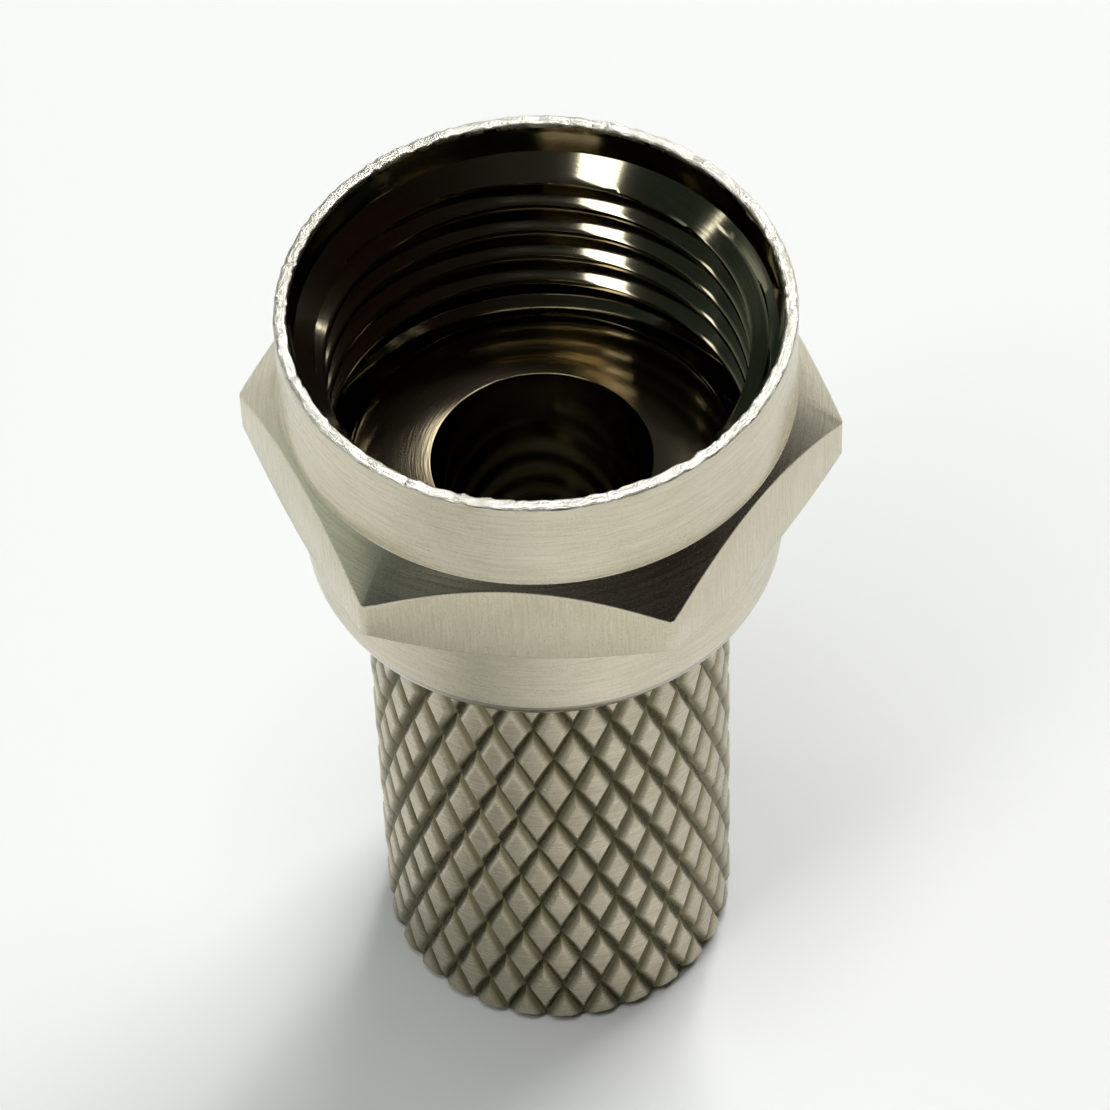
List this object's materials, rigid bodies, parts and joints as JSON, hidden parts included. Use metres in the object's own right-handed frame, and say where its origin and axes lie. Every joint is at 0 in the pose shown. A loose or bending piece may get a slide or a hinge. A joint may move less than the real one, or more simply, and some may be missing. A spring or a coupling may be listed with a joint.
{
  "type": "f connector",
  "caption": "Twist-on coaxial plug: a hexagon coupling nut with an internal thread turns freely on a knurled round body that is bored for the cable.",
  "frame": {"origin": "centre of the body's rear face, which the part stands on", "axes": "+Z along the axis, towards the nut's mouth; +X through a corner of the hexagon"},
  "size_m": [0.0126, 0.011, 0.0202],
  "materials": {
    "body_plating": "bright nickel plate over turned and knurled brass",
    "nut_plating": "bright nickel plate over turned brass"
  },
  "bodies": {
    "body": {"knurled_body": "body_plating"},
    "nut": {"coupling_nut": "nut_plating"}
  },
  "joints": [
    {"name": "nut_spin", "type": "hinge", "parent": "body", "child": "nut", "pos_m": [0, 0, 0.013], "axis": [0, 0, 1], "continuous": true}
  ]
}
